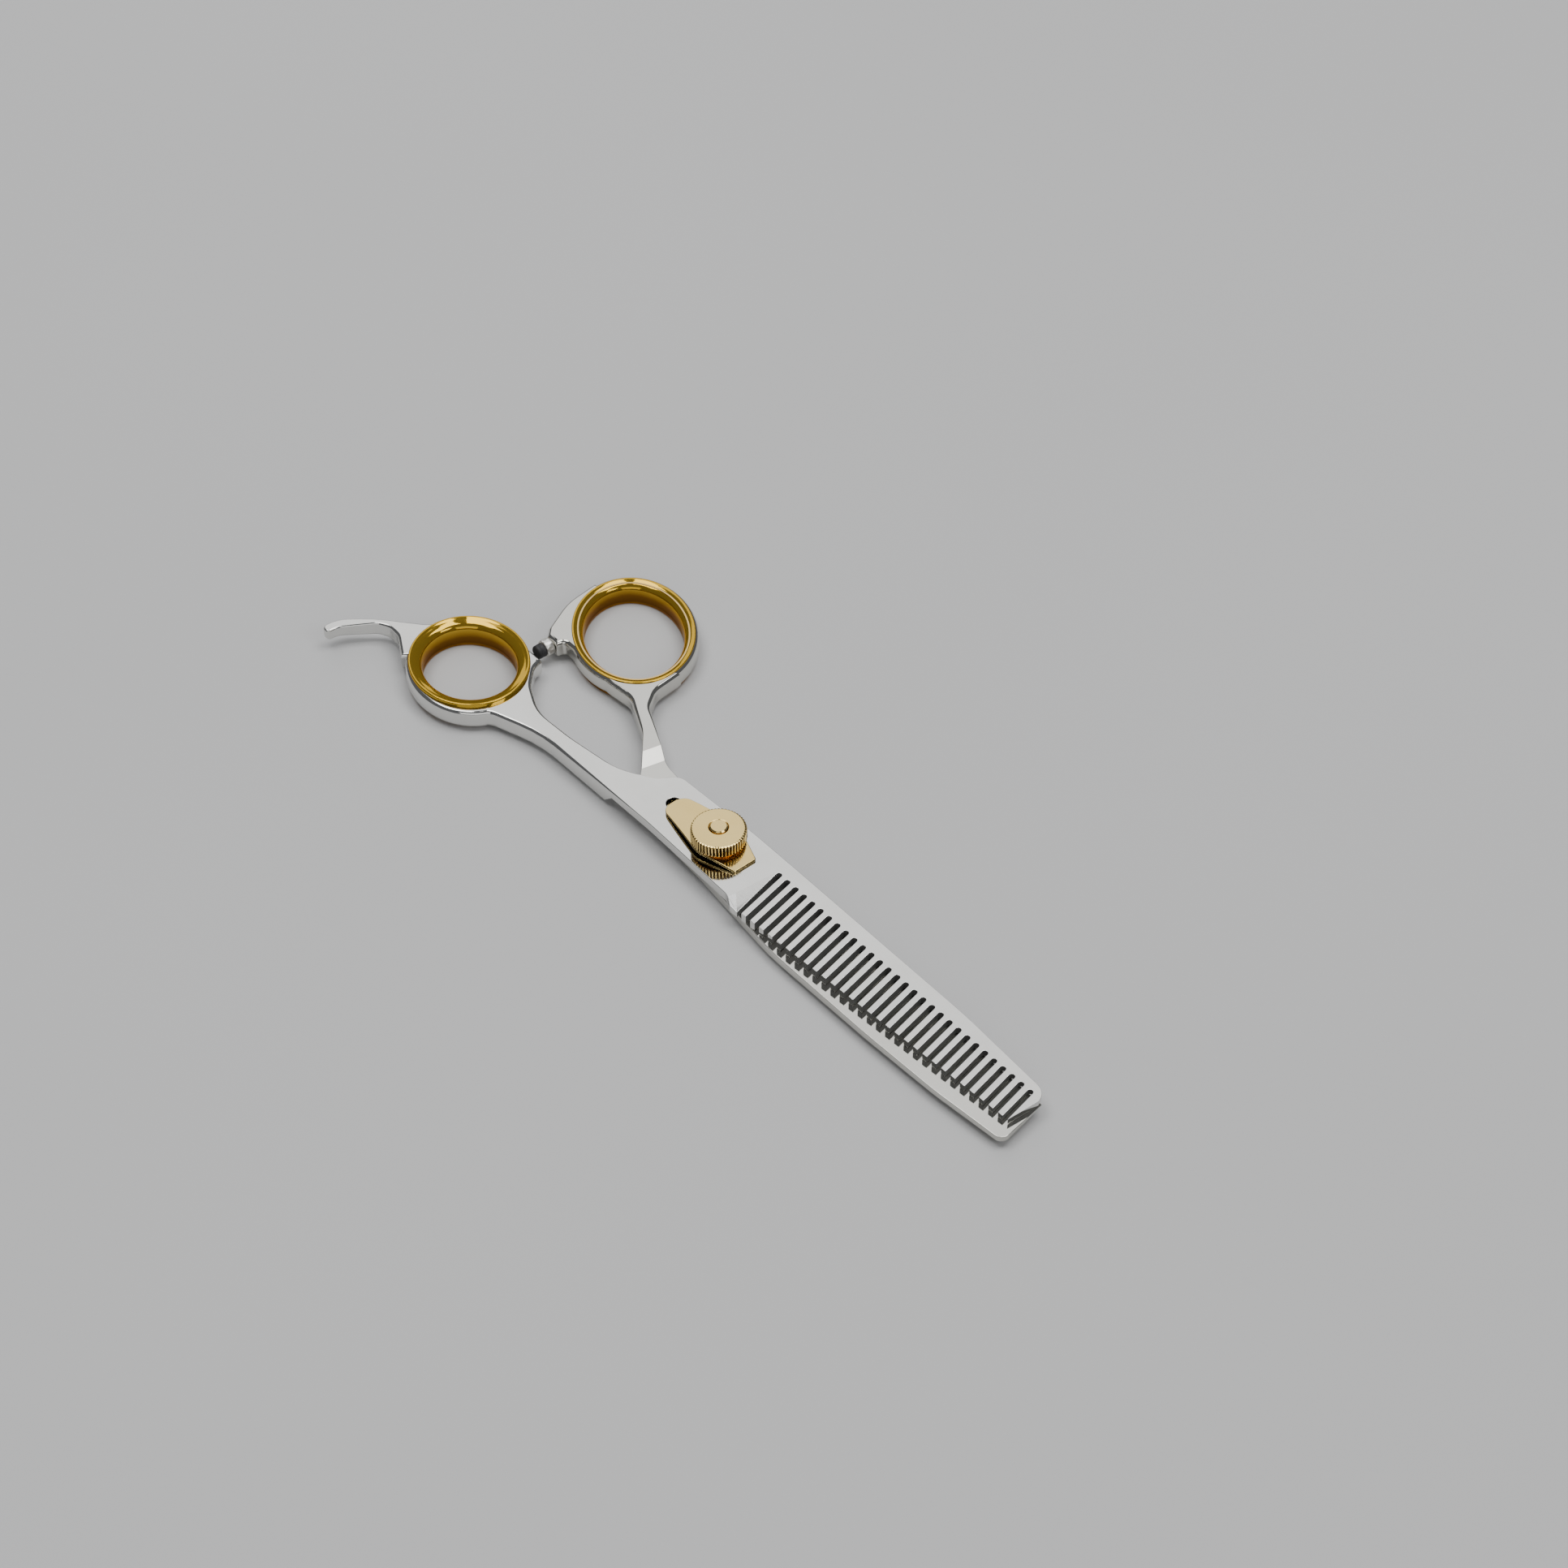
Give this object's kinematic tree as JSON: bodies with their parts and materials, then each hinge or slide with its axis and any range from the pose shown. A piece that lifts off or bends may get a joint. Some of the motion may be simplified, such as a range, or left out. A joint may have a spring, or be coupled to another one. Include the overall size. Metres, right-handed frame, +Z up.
{
  "type": "thinning shears",
  "caption": "Closed thinning shears: slotted comb blade over a plain blade, oval finger rings with inserts, a hooked tang, a bumper and a knurled tension knob.",
  "frame": {"origin": "on the pivot axis, at the plane the shears lie on, which is the underside of the pivot screw's head", "axes": "+X along the closed blades to the tips, +Y towards the thumb ring, +Z up out of the tension knob"},
  "size_m": [0.1841, 0.0609, 0.0101],
  "materials": {
    "blade_steel": "polished, faintly brushed",
    "mirror_steel": "mirror polished steel",
    "amber_plastic": "clear amber, glossy",
    "gold_plate": "gold plated, polished",
    "brass_washer": "satin brass",
    "nylon": "natural nylon",
    "cast_metal": "rough, tarnished",
    "black_rubber": "matt"
  },
  "bodies": {
    "comb_half": {"comb_blade": "blade_steel", "finger_ring_insert": "amber_plastic", "pivot_screw": "gold_plate", "head_washer": "nylon", "tension_plate": "gold_plate"},
    "plain_half": {"plain_blade": "mirror_steel", "thumb_ring_insert": "amber_plastic", "pivot_bush": "nylon", "blade_washer": "nylon", "bumper_stud": "cast_metal", "bumper_pad": "black_rubber"},
    "washer": {"thrust_washer": "brass_washer"},
    "knob": {"tension_knob": "gold_plate", "knob_friction_ring": "nylon"}
  },
  "joints": [
    {"name": "blade_pivot", "type": "hinge", "parent": "comb_half", "child": "plain_half", "pos_m": [0, 0, 0.0029], "axis": [0, 0, -1], "range_deg": [-0.9, 65]},
    {"name": "knob_travel", "type": "slide", "parent": "comb_half", "child": "washer", "axis": [0, 0, 1], "range_m": [-0.0005, 0], "deforming": ["tension_plate"]},
    {"name": "knob_turn", "type": "hinge", "parent": "washer", "child": "knob", "pos_m": [0, 0, 0.0082], "axis": [0, 0, 1], "range_deg": [-360, 0]}
  ],
  "couplings": [
    {"joint": "knob_turn", "follows": "knob_travel", "rad_per_m": 12566}
  ]
}
